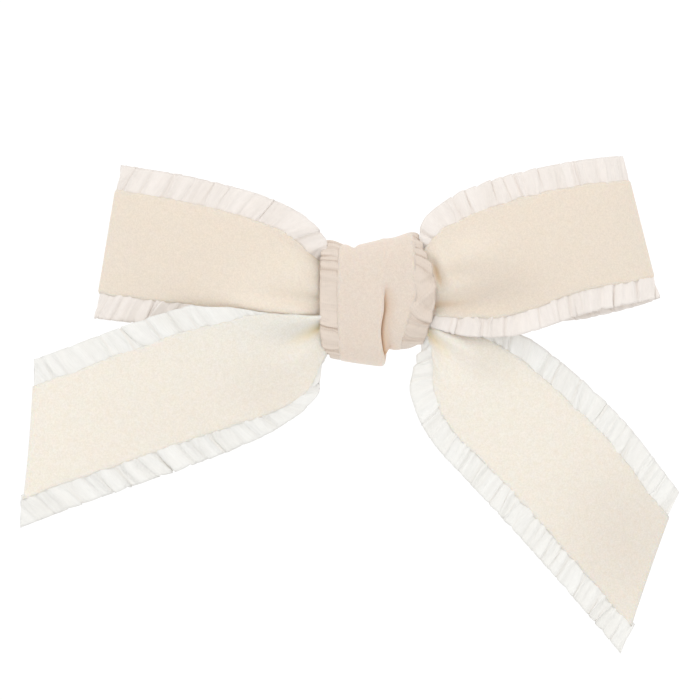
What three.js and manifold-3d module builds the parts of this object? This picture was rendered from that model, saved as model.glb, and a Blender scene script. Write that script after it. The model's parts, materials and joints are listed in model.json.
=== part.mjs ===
// Hair bow: velvet ribbon with gathered sheer frills, on a sprung clip.
// Millimetres. +X is to the wearer's view right, +Z is up and the bow faces -Y.
// The origin is between the clip's jaws, straight behind the middle of the knot.
import * as THREE from 'three';
import { mergeVertices } from 'three/addons/utils/BufferGeometryUtils.js';
import Module from 'manifold-3d';

// ---- driving dimensions ----
const GAP = 0.3;                 // clearance between neighbouring pieces
const VELVET_THICKNESS = 1.0;
const FRILL_THICKNESS = 0.4;
const VELVET_WIDTH = 17;
const FRILL_WIDTH = 4.2;         // each frill, on a ribbon of about 25.4 in all
const LOOP_STEPS = 38;
const TAIL_STEPS = 18;
const KNOT_STEPS = 30;

const KNOT_CENTRE_Y = -10.4;
const KNOT_HALF_DEPTH = 5.5;
const KNOT_SQUARENESS = 2.6;     // exponent of the wrap's cross-section
// The wrap's outline from the front: its top dips where one layer of it ends on the next.
const KNOT_TOP = [[-9.8, 9.8], [-7.5, 9.4], [-4.0, 7.8], [-3.0, 8.5], [6.5, 10.9], [10, 10.9]];
const KNOT_BOTTOM = [[-9.8, -10.2], [-7.5, -10.9], [0.9, -11.1], [1.4, -8.9], [10, -8.7]];
// Where each edge of the wrap is, as degrees round it from the middle of the front towards the top, and x.
const KNOT_LEFT = [[-180, -8.0], [-90, -7.6], [-62, -8.6], [-40, -9.6], [0, -9.8], [50, -9.6], [90, -8.4],
  [180, -8.0]];
const KNOT_RIGHT = [[-180, 8.0], [-90, 7.0], [-44, 8.3], [-20, 9.2], [0, 9.9], [15, 9.0], [35, 7.8],
  [60, 6.9], [90, 6.5], [180, 8.0]];
const KNOT_SEAM_LEFT = [[-180, -5.5], [-90, -6.4], [0, -6.9], [60, -6.6], [90, -5.6], [180, -5.5]];
const KNOT_SEAM_RIGHT = [[-180, 4.6], [-90, 3.9], [-57, 3.9], [-19, 5.3], [0, 6.8], [15, 6.2], [38, 6.3],
  [90, 5.6], [180, 4.6]];

const THREAD_RADIUS = 0.35;
const THREAD_TURNS = 4;
const THREAD_HALF_DEPTH = 4.3;
const THREAD_HALF_HEIGHT = 6.2;

const FELT = { length: 24, height: 11, front: -4.1, back: -3.0 };
const GLUE = { length: 16, height: 5, front: -2.7, back: -2.0 };
const LINING = { length: 44, height: 5.8, front: -1.7, back: -1.2 };

const ARM_HALF_LENGTH = 23;
const ARM_HALF_HEIGHT = 3.2;
const ARM_FRONT = -0.9;
const ARM_BACK = -0.1;
const PLATE = 0.8;               // sheet steel of the rear arm
const PIN = { x: 11, y: 3.2, radius: 0.75, halfLength: 4.7, headRadius: 1.4, head: 0.6 };
const EAR_HOLE = PIN.radius + GAP;
const EAR_RADIUS = 2.0;
const FRONT_EAR = { inner: 3.5, outer: 4.2 };
const REAR_EAR = { inner: 2.5, outer: 3.2 };
const TOOTH_PITCH = 2;
const TEETH = 6;
const TOOTH_TIP_Y = 0.25;
const TOOTH_ROOT_Y = 0.75;
const SPRING = { radius: 2.15, wire: 0.38, turns: 3, halfWidth: 1.5 };

const COLOURS = {
  velvet: 0xf1e5d3, frill: 0xf5efe9, thread: 0xf2ebdd, felt: 0xf0e8d8,
  glue: 0xf4f1e4, lining: 0xf3ebde, steel: 0xc9ccd0, spring: 0xb4b7bb,
};

// ---- materials ----
const cloth = (colour, roughness) =>
  new THREE.MeshStandardMaterial({ color: colour, roughness, metalness: 0 });
const metal = (colour, roughness) =>
  new THREE.MeshStandardMaterial({ color: colour, roughness, metalness: 1 });
const materials = {
  velvet: cloth(COLOURS.velvet, 0.95),
  frill: cloth(COLOURS.frill, 0.7),
  thread: cloth(COLOURS.thread, 0.8),
  felt: cloth(COLOURS.felt, 1.0),
  glue: cloth(COLOURS.glue, 0.35),
  lining: cloth(COLOURS.lining, 0.75),
  steel: metal(COLOURS.steel, 0.28),
  spring: metal(COLOURS.spring, 0.35),
};

const bow = new THREE.Group();

function add(name, geometry, material) {
  const mesh = new THREE.Mesh(geometry, material);
  mesh.name = name;
  bow.add(mesh);
}

// ---- booleans ----
const wasm = await Module();
wasm.setup();

function toSolid(geometry) {
  const bare = geometry.clone();
  bare.deleteAttribute('normal');
  bare.deleteAttribute('uv');
  const merged = mergeVertices(bare, 1e-4);
  const vertProperties = new Float32Array(merged.attributes.position.array);
  const triVerts = new Uint32Array(merged.index.array);
  return new wasm.Manifold(new wasm.Mesh({ numProp: 3, vertProperties, triVerts }));
}

function fromSolid(solid) {
  const mesh = solid.getMesh();
  const geometry = new THREE.BufferGeometry();
  geometry.setAttribute('position', new THREE.BufferAttribute(mesh.vertProperties, 3));
  geometry.setIndex(new THREE.BufferAttribute(mesh.triVerts, 1));
  geometry.computeVertexNormals();
  return geometry;
}

// ---- cloth: a surface given as a function of (u, v), thickened to a closed solid ----
function surfaceNormal(surface, u, v, wraps) {
  const step = 1e-3;
  const u0 = wraps ? u - step : Math.max(u - step, 0);
  const u1 = wraps ? u + step : Math.min(u + step, 1);
  const v0 = Math.max(v - step, 0);
  const v1 = Math.min(v + step, 1);
  const along = surface(u1, v).sub(surface(u0, v));
  const across = surface(u, v1).sub(surface(u, v0));
  return along.cross(across).normalize();
}

function clothSolid(surface, uSteps, vSteps, thickness, wraps = false) {
  const positions = [];
  const index = [];
  const rows = wraps ? uSteps : uSteps + 1;
  const columns = vSteps + 1;
  for (const side of [0.5, -0.5]) {
    for (let i = 0; i < rows; i++) {
      for (let j = 0; j < columns; j++) {
        const u = i / uSteps;
        const v = j / vSteps;
        const point = surface(u, v);
        point.addScaledVector(surfaceNormal(surface, u, v, wraps), side * thickness);
        positions.push(point.x, point.y, point.z);
      }
    }
  }
  const face = (side, i, j) => side * rows * columns + (i % rows) * columns + j;
  const quad = (a, b, c, d) => index.push(a, b, c, a, c, d);
  for (let i = 0; i < uSteps; i++) {
    for (let j = 0; j < vSteps; j++) {
      quad(face(0, i, j), face(0, i + 1, j), face(0, i + 1, j + 1), face(0, i, j + 1));
      quad(face(1, i, j), face(1, i, j + 1), face(1, i + 1, j + 1), face(1, i + 1, j));
    }
    quad(face(0, i, 0), face(1, i, 0), face(1, i + 1, 0), face(0, i + 1, 0));
    quad(face(0, i, vSteps), face(0, i + 1, vSteps), face(1, i + 1, vSteps), face(1, i, vSteps));
  }
  if (!wraps) {
    for (let j = 0; j < vSteps; j++) {
      quad(face(0, 0, j), face(0, 0, j + 1), face(1, 0, j + 1), face(1, 0, j));
      quad(face(0, uSteps, j), face(1, uSteps, j), face(1, uSteps, j + 1), face(0, uSteps, j + 1));
    }
  }
  const geometry = new THREE.BufferGeometry();
  geometry.setAttribute('position', new THREE.Float32BufferAttribute(positions, 3));
  geometry.setIndex(index);
  geometry.computeVertexNormals();
  return geometry;
}

const smoothCurve = (points) => new THREE.CatmullRomCurve3(
  points.map(([x, y, z]) => new THREE.Vector3(x, y, z)), false, 'catmullrom', 0.5);

// A length of ribbon: the velvet hangs between two rails, its edges, and a frill stands out from each.
// v runs from the upper rail to the lower one. At each station a frill shows a share of its full width,
// less where the gathers turn it under. `ends` says how much of each rail the slanted cut leaves.
function addRibbon(name, rails, steps, ends = { upper: 1, lower: 1 }) {
  const upperRail = smoothCurve(rails.upper);
  const lowerRail = smoothCurve(rails.lower);
  const across = (v, s) => upperRail.getPoint(s).lerp(lowerRail.getPoint(s), v);
  const cutShare = (v) => THREE.MathUtils.lerp(ends.upper, ends.lower, v);
  const halfGap = GAP / 2 / VELVET_WIDTH;
  const velvet = (u, v) => {
    const inside = THREE.MathUtils.lerp(halfGap, 1 - halfGap, v);
    return across(inside, u * cutShare(inside));
  };
  add(`${name}_velvet`, clothSolid(velvet, steps, 5, VELVET_THICKNESS), materials.velvet);

  const frill = (rail, otherRail, shown, edge) => (u, v) => {
    const reach = edge === 0 ? 1 - v : v;
    const place = edge + (edge === 0 ? -reach : reach) * FRILL_WIDTH / VELVET_WIDTH;
    const s = u * cutShare(place);
    const seam = rail.getPoint(s);
    const tangent = rail.getTangent(s);
    const outward = seam.clone().sub(otherRail.getPoint(s)).projectOnPlane(tangent).normalize();
    const station = s * (shown.length - 1);
    const below = Math.min(Math.floor(station), shown.length - 2);
    const share = THREE.MathUtils.lerp(shown[below], shown[below + 1], station - below);
    return seam.addScaledVector(outward, GAP / 2 + reach * (share * FRILL_WIDTH - GAP / 2));
  };
  const upperFrill = frill(upperRail, lowerRail, rails.upperFrill, 0);
  const lowerFrill = frill(lowerRail, upperRail, rails.lowerFrill, 1);
  add(`${name}_upper_frill`, clothSolid(upperFrill, steps, 1, FRILL_THICKNESS), materials.frill);
  add(`${name}_lower_frill`, clothSolid(lowerFrill, steps, 1, FRILL_THICKNESS), materials.frill);
}

// Loops: out from the waist along the front, round the fold, and back along the rear layer.
addRibbon('left_loop', {
  upper: [
    [-0.8, -12.8, 2.4], [-4.4, -12.8, 3.4], [-7.4, -13.1, 4.6], [-10.6, -13.6, 6.6],
    [-15.0, -14.0, 10.2], [-22.0, -14.0, 13.3], [-32.4, -13.8, 15.8], [-40.2, -12.0, 17.3],
    [-44.1, -9.3, 18.0], [-40.2, -6.8, 17.5], [-32.4, -5.9, 16.2], [-22.0, -6.6, 13.4],
    [-15.0, -7.6, 10.0], [-10.6, -8.3, 7.0], [-7.4, -8.7, 5.2], [-4.4, -8.9, 3.6], [-0.8, -8.9, 2.4],
  ],
  lower: [
    [-0.8, -12.8, -2.8], [-4.4, -12.8, -3.6], [-7.4, -12.9, -4.2], [-10.6, -13.2, -4.6],
    [-15.4, -13.3, -4.6], [-23.5, -13.2, -3.4], [-34.0, -13.2, -1.2], [-43.0, -11.9, -0.1],
    [-47.0, -9.3, 0.4], [-42.6, -6.9, 0.0], [-34.0, -6.0, -0.9], [-23.5, -6.6, -2.8],
    [-15.4, -7.6, -4.0], [-10.6, -8.2, -4.2], [-7.4, -8.7, -4.0], [-4.4, -8.9, -3.4],
    [-0.8, -8.9, -2.8],
  ],
  upperFrill: [0.2, 0.2, 0.2, 0.45, 1, 1, 1, 1, 1, 1, 1, 1, 1, 0.5, 0.25, 0.2, 0.2],
  lowerFrill: [0.2, 0.2, 0.25, 0.4, 0.8, 1, 1, 1, 1, 1, 1, 1, 0.8, 0.5, 0.3, 0.2, 0.2],
}, LOOP_STEPS);

addRibbon('right_loop', {
  upper: [
    [0.8, -13.2, 2.6], [4.4, -13.2, 4.4], [7.6, -13.8, 7.8], [10.2, -14.3, 10.8],
    [14.6, -14.5, 13.2], [21.9, -14.4, 15.9], [31.5, -14.0, 18.1], [38.8, -12.1, 19.2],
    [42.3, -9.3, 19.5], [38.4, -7.3, 18.9], [31.5, -6.6, 17.6], [21.9, -7.2, 15.2],
    [14.6, -8.0, 12.4], [10.2, -8.5, 9.6], [7.6, -8.8, 7.0], [4.4, -8.9, 4.4], [0.8, -8.9, 2.6],
  ],
  lower: [
    [0.8, -13.2, -2.4], [4.4, -13.2, -2.8], [7.4, -13.6, -3.2], [11.0, -14.0, -3.5],
    [16.0, -14.2, -3.8], [23.2, -14.2, -3.0], [34.0, -13.9, 0.7], [42.4, -12.1, 2.3],
    [46.5, -9.3, 2.9], [42.4, -7.4, 1.2], [34.0, -6.8, -1.0], [23.2, -7.3, -3.0],
    [16.0, -8.0, -3.6], [11.0, -8.5, -3.4], [7.4, -8.8, -3.2], [4.4, -8.9, -2.8], [0.8, -8.9, -2.4],
  ],
  upperFrill: [0.2, 0.2, 0.15, 0.8, 1, 1, 1, 1, 1, 1, 1, 1, 0.9, 0.8, 0.4, 0.3, 0.2],
  lowerFrill: [0.2, 0.2, 0.3, 0.6, 0.75, 0.85, 0.9, 0.85, 0.9, 1, 1, 0.4, 0.2, 0.2, 0.2, 0.2, 0.2],
}, LOOP_STEPS);

// Tails: from the waist to past the slanted cut.
addRibbon('left_tail', {
  upper: [
    [-0.8, -14.1, -1.0], [-4.4, -14.2, -2.0], [-7.4, -14.4, -2.8], [-10.4, -14.7, -3.3],
    [-14.5, -14.9, -3.1], [-20.7, -15.0, -3.2], [-30.0, -15.0, -5.3], [-38.4, -14.6, -8.0],
    [-47.6, -13.6, -11.4], [-57.5, -12.4, -15.0], [-67.4, -11.4, -18.2],
  ],
  lower: [
    [-0.8, -14.0, -3.8], [-4.4, -13.9, -5.4], [-7.2, -13.0, -7.4], [-9.6, -12.7, -11.4],
    [-11.8, -13.0, -16.0], [-17.5, -12.8, -19.4], [-25.6, -12.6, -22.2], [-33.4, -12.4, -24.8],
    [-42.2, -12.1, -27.9], [-51.6, -11.7, -31.2], [-62.6, -11.3, -35.4],
  ],
  upperFrill: [0.15, 0.15, 0.15, 0.15, 0.15, 0.35, 0.95, 1, 1, 1, 1],
  lowerFrill: [0.15, 0.12, 0.1, 0.1, 0.4, 0.7, 0.95, 1, 1, 1, 1],
}, TAIL_STEPS, { upper: 0.905, lower: 0.974 });

addRibbon('right_tail', {
  upper: [
    [0.8, -12.0, -0.6], [4.4, -12.0, -2.0], [8.0, -12.3, -3.4], [11.8, -12.5, -4.8],
    [17.0, -12.4, -6.6], [23.5, -11.2, -10.0], [31.2, -8.8, -16.7], [39.6, -6.2, -24.9],
    [48.7, -3.4, -36.5], [58.2, -1.0, -47.4],
  ],
  lower: [
    [0.8, -11.8, -3.4], [4.4, -11.9, -5.2], [8.0, -12.1, -7.0], [9.2, -12.2, -11.0],
    [9.4, -12.2, -16.0], [12.0, -11.7, -22.0], [18.4, -10.4, -28.6], [26.6, -8.2, -37.4],
    [36.2, -5.0, -48.2], [46.4, -1.6, -60.2],
  ],
  upperFrill: [0.2, 0.2, 0.2, 0.3, 0.35, 0.85, 1, 1, 1, 1],
  lowerFrill: [0.12, 0.12, 0.12, 0.6, 0.95, 0.9, 1, 1, 1, 1],
}, TAIL_STEPS, { upper: 0.9, lower: 0.965 });

// ---- knot: one turn of ribbon round the waist, as a closed ring ----
// The value at a place on a line of straight steps between given [place, value] pairs.
function lookUp(pairs, place) {
  let next = 1;
  while (next < pairs.length - 1 && pairs[next][0] < place) {
    next++;
  }
  const [from, start] = pairs[next - 1];
  const [to, end] = pairs[next];
  return THREE.MathUtils.lerp(start, end, THREE.MathUtils.clamp((place - from) / (to - from), 0, 1));
}

function knotPoint(x, angle) {
  const top = lookUp(KNOT_TOP, x);
  const bottom = lookUp(KNOT_BOTTOM, x);
  const rounding = (value) => Math.sign(value) * Math.abs(value) ** (2 / KNOT_SQUARENESS);
  return new THREE.Vector3(
    x,
    KNOT_CENTRE_Y - KNOT_HALF_DEPTH * rounding(Math.cos(angle)),
    (top + bottom) / 2 + (top - bottom) / 2 * rounding(Math.sin(angle)));
}

function knotRing(left, leftGap, right, rightGap) {
  return (u, v) => {
    const turn = (u + 0.5 / KNOT_STEPS) * 360;
    const degrees = turn > 180 ? turn - 360 : turn;
    const from = lookUp(left, degrees) + leftGap;
    const to = lookUp(right, degrees) - rightGap;
    return knotPoint(THREE.MathUtils.lerp(from, to, v), THREE.MathUtils.degToRad(degrees));
  };
}

const knotVelvet = knotRing(KNOT_SEAM_LEFT, GAP / 2, KNOT_SEAM_RIGHT, GAP / 2);
const knotLeftFrill = knotRing(KNOT_LEFT, 0, KNOT_SEAM_LEFT, GAP / 2);
const knotRightFrill = knotRing(KNOT_SEAM_RIGHT, GAP / 2, KNOT_RIGHT, 0);
add('knot_wrap_velvet', clothSolid(knotVelvet, KNOT_STEPS, 8, VELVET_THICKNESS, true), materials.velvet);
add('knot_wrap_left_frill',
  clothSolid(knotLeftFrill, KNOT_STEPS, 1, FRILL_THICKNESS, true), materials.frill);
add('knot_wrap_right_frill',
  clothSolid(knotRightFrill, KNOT_STEPS, 1, FRILL_THICKNESS, true), materials.frill);

// ---- gathering thread: a few tight turns round the waist, as one flat band ----
const threadCentreY = -10.75;
const threadCentreZ = -0.7;
function threadBand(u, v) {
  const angle = u * 2 * Math.PI;
  const width = THREAD_RADIUS * 2 * THREAD_TURNS;
  return new THREE.Vector3(
    width * (v - 0.5),
    threadCentreY - THREAD_HALF_DEPTH * Math.sign(Math.cos(angle)) * Math.abs(Math.cos(angle)) ** 0.5,
    threadCentreZ + THREAD_HALF_HEIGHT * Math.sign(Math.sin(angle)) * Math.abs(Math.sin(angle)) ** 0.5);
}
add('gathering_thread', clothSolid(threadBand, 24, 1, THREAD_RADIUS, true), materials.thread);

// ---- flat layers between the knot and the clip ----
function roundedOutline(length, height, radius) {
  const x = length / 2;
  const z = height / 2;
  const shape = new THREE.Shape();
  shape.moveTo(-x + radius, -z);
  shape.lineTo(x - radius, -z);
  shape.absarc(x - radius, -z + radius, radius, -Math.PI / 2, 0);
  shape.lineTo(x, z - radius);
  shape.absarc(x - radius, z - radius, radius, 0, Math.PI / 2);
  shape.lineTo(-x + radius, z);
  shape.absarc(-x + radius, z - radius, radius, Math.PI / 2, Math.PI);
  shape.lineTo(-x, -z + radius);
  shape.absarc(-x + radius, -z + radius, radius, Math.PI, 1.5 * Math.PI);
  return shape;
}

// A shape drawn in X and Z, given a thickness from y = front to y = back.
function extrudeBack(shape, front, back, curveSegments = 6) {
  const geometry = new THREE.ExtrudeGeometry(
    shape, { depth: back - front, bevelEnabled: false, curveSegments });
  geometry.rotateX(Math.PI / 2);
  geometry.translate(0, back, 0);
  return geometry;
}

// A shape drawn in X and Y, given a height from z = bottom to z = top.
function extrudeUp(shape, bottom, top, curveSegments = 6) {
  const geometry = new THREE.ExtrudeGeometry(
    shape, { depth: top - bottom, bevelEnabled: false, curveSegments });
  geometry.translate(0, 0, bottom);
  return geometry;
}

function flatLayer(layer, radius) {
  return extrudeBack(roundedOutline(layer.length, layer.height, radius), layer.front, layer.back);
}
add('felt_backing_pad', flatLayer(FELT, 4.5), materials.felt);
add('glue_pad', flatLayer(GLUE, 2), materials.glue);
add('clip_lining_ribbon', flatLayer(LINING, 0.6), materials.lining);

// ---- clip ----
function earShape(baseY) {
  const shape = new THREE.Shape();
  shape.moveTo(PIN.x - EAR_RADIUS, baseY);
  shape.lineTo(PIN.x + EAR_RADIUS, baseY);
  shape.lineTo(PIN.x + EAR_RADIUS, PIN.y);
  shape.absarc(PIN.x, PIN.y, EAR_RADIUS, 0, Math.PI, baseY > PIN.y);
  shape.lineTo(PIN.x - EAR_RADIUS, baseY);
  return shape;
}

function pinCylinder(radius, bottom, top) {
  const geometry = new THREE.CylinderGeometry(radius, radius, top - bottom, 20);
  geometry.rotateX(Math.PI / 2);
  geometry.translate(PIN.x, PIN.y, (top + bottom) / 2);
  return geometry;
}

const pinHole = toSolid(pinCylinder(EAR_HOLE, -2 * PIN.halfLength, 2 * PIN.halfLength));

function addEars(plate, ear, baseY) {
  let solid = plate;
  for (const [bottom, top] of [[ear.inner, ear.outer], [-ear.outer, -ear.inner]]) {
    solid = solid.add(toSolid(extrudeUp(earShape(baseY), bottom, top)));
  }
  return solid.subtract(pinHole);
}

// The front arm is a long flat plate, widened where its two ears stand.
const earTab = roundedOutline(2 * EAR_RADIUS + 1, 2 * FRONT_EAR.outer, 0.4);
const earTabGeometry = extrudeBack(earTab, ARM_FRONT, ARM_BACK);
earTabGeometry.translate(PIN.x, 0, 0);
const armPlate = extrudeBack(
  roundedOutline(2 * ARM_HALF_LENGTH, 2 * ARM_HALF_HEIGHT, 2.6), ARM_FRONT, ARM_BACK);
const frontArm = addEars(
  toSolid(armPlate).add(toSolid(earTabGeometry)), FRONT_EAR, (ARM_FRONT + ARM_BACK) / 2);
add('clip_front_arm', fromSolid(frontArm), materials.steel);

// The rear arm lies along the jaw with teeth at its tip, rises over the spring and flares to a lever.
const BRIDGE_Y = 6.4;
const LEVER_END_Y = 9.8;
const JAW_END_X = 2.5;
const BRIDGE_START_X = 6.8;
const BRIDGE_END_X = 14.2;
function rearProfile() {
  const shape = new THREE.Shape();
  shape.moveTo(-ARM_HALF_LENGTH, TOOTH_ROOT_Y);
  for (let tooth = 0; tooth < TEETH; tooth++) {
    const start = -ARM_HALF_LENGTH + 0.6 + tooth * TOOTH_PITCH;
    shape.lineTo(start, TOOTH_ROOT_Y);
    shape.lineTo(start + TOOTH_PITCH * 0.35, TOOTH_TIP_Y);
    shape.lineTo(start + TOOTH_PITCH * 0.65, TOOTH_TIP_Y);
  }
  shape.lineTo(-ARM_HALF_LENGTH + 0.6 + TEETH * TOOTH_PITCH, TOOTH_ROOT_Y);
  shape.lineTo(JAW_END_X, TOOTH_ROOT_Y);
  shape.lineTo(BRIDGE_START_X, BRIDGE_Y);
  shape.lineTo(BRIDGE_END_X, BRIDGE_Y);
  shape.lineTo(ARM_HALF_LENGTH, LEVER_END_Y);
  shape.lineTo(ARM_HALF_LENGTH - 0.4, LEVER_END_Y + PLATE);
  shape.lineTo(BRIDGE_END_X - 0.2, BRIDGE_Y + PLATE);
  shape.lineTo(BRIDGE_START_X - 0.5, BRIDGE_Y + PLATE);
  shape.lineTo(JAW_END_X - 0.4, TOOTH_ROOT_Y + PLATE);
  shape.lineTo(-ARM_HALF_LENGTH, TOOTH_ROOT_Y + PLATE);
  return shape;
}
const rearPlate = toSolid(extrudeUp(rearProfile(), -ARM_HALF_HEIGHT, ARM_HALF_HEIGHT));
const tipOutline = roundedOutline(2 * ARM_HALF_LENGTH, 2 * ARM_HALF_HEIGHT, 2.6);
const tipCutter = toSolid(extrudeBack(tipOutline, -1, LEVER_END_Y + 2));
const rearArm = addEars(rearPlate.intersect(tipCutter), REAR_EAR, BRIDGE_Y + PLATE / 2);
add('clip_rear_arm', fromSolid(rearArm), materials.steel);

const pinProfile = [
  [0, -PIN.halfLength - PIN.head], [PIN.headRadius * 0.7, -PIN.halfLength - PIN.head],
  [PIN.headRadius, -PIN.halfLength], [PIN.radius, -PIN.halfLength],
  [PIN.radius, PIN.halfLength], [PIN.headRadius, PIN.halfLength],
  [PIN.headRadius * 0.7, PIN.halfLength + PIN.head], [0, PIN.halfLength + PIN.head],
].map(([radius, height]) => new THREE.Vector2(radius, height));
const pinGeometry = new THREE.LatheGeometry(pinProfile, 20);
pinGeometry.rotateX(Math.PI / 2);
pinGeometry.translate(PIN.x, PIN.y, 0);
add('clip_hinge_pin', pinGeometry, materials.steel);

// Torsion spring: a leg on the front lever, the coil round the pin, a leg on the rear lever.
class SpringPath extends THREE.Curve {
  getPoint(share, target = new THREE.Vector3()) {
    const coil = (turn) => target.set(
      PIN.x + SPRING.radius * Math.sin(turn * 2 * Math.PI),
      PIN.y - SPRING.radius * Math.cos(turn * 2 * Math.PI),
      THREE.MathUtils.lerp(-SPRING.halfWidth, SPRING.halfWidth, turn / (SPRING.turns - 0.5)));
    const legShare = 0.1;
    const legLength = 6;
    if (share < legShare) {
      coil(0);
      target.x += legLength * (1 - share / legShare);
    } else if (share > 1 - legShare) {
      coil(SPRING.turns - 0.5);
      target.x += legLength * (share - 1 + legShare) / legShare;
    } else {
      coil((share - legShare) / (1 - 2 * legShare) * (SPRING.turns - 0.5));
    }
    return target;
  }
}
const wireSection = new THREE.Shape();
wireSection.absarc(0, 0, SPRING.wire, 0, 2 * Math.PI);
const springGeometry = new THREE.ExtrudeGeometry(wireSection, {
  extrudePath: new SpringPath(), steps: 60, curveSegments: 3, bevelEnabled: false,
});
add('clip_spring', springGeometry, materials.spring);

export default bow;
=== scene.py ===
"""Hair bow: cream velvet ribbon with gathered sheer frills, on a sprung clip.

Shapes are worked out in millimetres, in the frame's own axes, and become metres in add_mesh.
The bow faces -Y, +X is to the right and +Z is up.
"""
import json
import math

import bmesh
import bpy
import numpy as np
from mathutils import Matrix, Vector


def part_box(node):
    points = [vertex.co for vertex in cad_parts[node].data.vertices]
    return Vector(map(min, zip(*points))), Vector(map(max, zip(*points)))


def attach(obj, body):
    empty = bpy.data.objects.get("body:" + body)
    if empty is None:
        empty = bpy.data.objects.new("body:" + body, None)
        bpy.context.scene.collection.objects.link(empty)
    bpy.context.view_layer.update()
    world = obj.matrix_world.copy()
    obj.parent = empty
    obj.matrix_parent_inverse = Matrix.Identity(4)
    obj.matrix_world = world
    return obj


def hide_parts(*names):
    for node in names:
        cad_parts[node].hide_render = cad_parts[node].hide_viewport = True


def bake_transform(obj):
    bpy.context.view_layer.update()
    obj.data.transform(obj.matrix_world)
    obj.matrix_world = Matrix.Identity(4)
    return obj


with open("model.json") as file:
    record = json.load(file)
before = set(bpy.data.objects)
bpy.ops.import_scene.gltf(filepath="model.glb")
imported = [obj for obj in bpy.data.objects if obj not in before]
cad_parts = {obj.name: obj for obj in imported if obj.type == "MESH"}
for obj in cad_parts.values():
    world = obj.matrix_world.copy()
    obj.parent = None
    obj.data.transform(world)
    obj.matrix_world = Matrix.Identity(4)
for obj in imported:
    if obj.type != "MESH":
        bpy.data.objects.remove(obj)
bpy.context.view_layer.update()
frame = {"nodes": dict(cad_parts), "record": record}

MM = 0.001
MOUNTS = {mount["name"]: mount for mount in frame["record"]["mounts"]}
GRIP = np.array(MOUNTS["hair_grip"]["pos_m"]) / MM

# ---- driving dimensions, in millimetres ----
VELVET_THICKNESS = 0.5
VELVET_WIDTH = 17.0
FRILL_THICKNESS = 0.11
FRILL_WIDTH = 4.2
SEAM_OVERLAP = 0.9            # how far a frill runs under the velvet it is sewn to
SEAM_DEPTH = 0.08             # how far behind the velvet's middle the frill lies
EDGE_WANDER = 0.16            # how unevenly the velvet's edge runs
EDGE_WANDER_PITCH = 2.3
LOOP_CROWN = 0.9              # how far a ribbon bows out between its edges
TAIL_CROWN = 0.5
RIM_SHARE = 0.15              # a cloth's thickness at its very edge, as a share of it inside
TALL_RIDGE = 1.0              # a ridge taller than this is pressed flat at the knot:
RIDGE_BURIED = 9.0            # all of it at this distance from the bow's middle,
RIDGE_CLEAR = 14.0            # and none of it at this one

KNOT_CENTRE_Y = -10.4
KNOT_HALF_DEPTH = 5.5
KNOT_SQUARENESS = 2.6
KNOT_GIRTH = 55.0
KNOT_MEAN_RADIUS = 9.0
KNOT_CROWN = 0.35
# The wrap's outline from the front as (x, z). Its top dips where one layer ends on the next, and its
# bottom steps up at the tuck.
KNOT_TOP = [(-9.8, 9.9), (-7.5, 9.4), (-5.2, 8.4), (-3.9, 7.7), (-3.3, 8.3), (0.0, 8.9), (3.0, 9.6),
            (5.0, 10.4), (6.5, 11.0), (10.0, 10.9)]
KNOT_BOTTOM = [(-9.8, -10.3), (-8.6, -10.6), (-7.0, -10.6), (0.9, -10.7), (1.2, -10.4), (1.6, -9.0),
               (1.9, -8.8), (4.0, -8.8), (10.0, -8.7)]
# Where each edge of the wrap is, as (degrees round it from the middle of the front towards the top, x).
KNOT_LEFT = [(-180, -8.0), (-90, -7.8), (-62, -8.9), (-40, -9.7), (0, -9.8), (50, -9.6), (90, -8.4),
             (180, -8.0)]
KNOT_RIGHT = [(-180, 8.0), (-90, 7.2), (-44, 8.3), (-20, 9.2), (0, 9.9), (15, 9.0), (35, 7.8), (60, 7.0),
              (90, 6.6), (180, 8.0)]
SEAM_LEFT = [(-180, -5.5), (-90, -6.4), (0, -6.9), (60, -6.6), (90, -5.6), (180, -5.5)]
SEAM_RIGHT = [(-180, 4.6), (-90, 3.9), (-57, 3.9), (-19, 5.3), (0, 6.8), (15, 6.2), (38, 6.3), (90, 5.6),
              (180, 4.6)]

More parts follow.
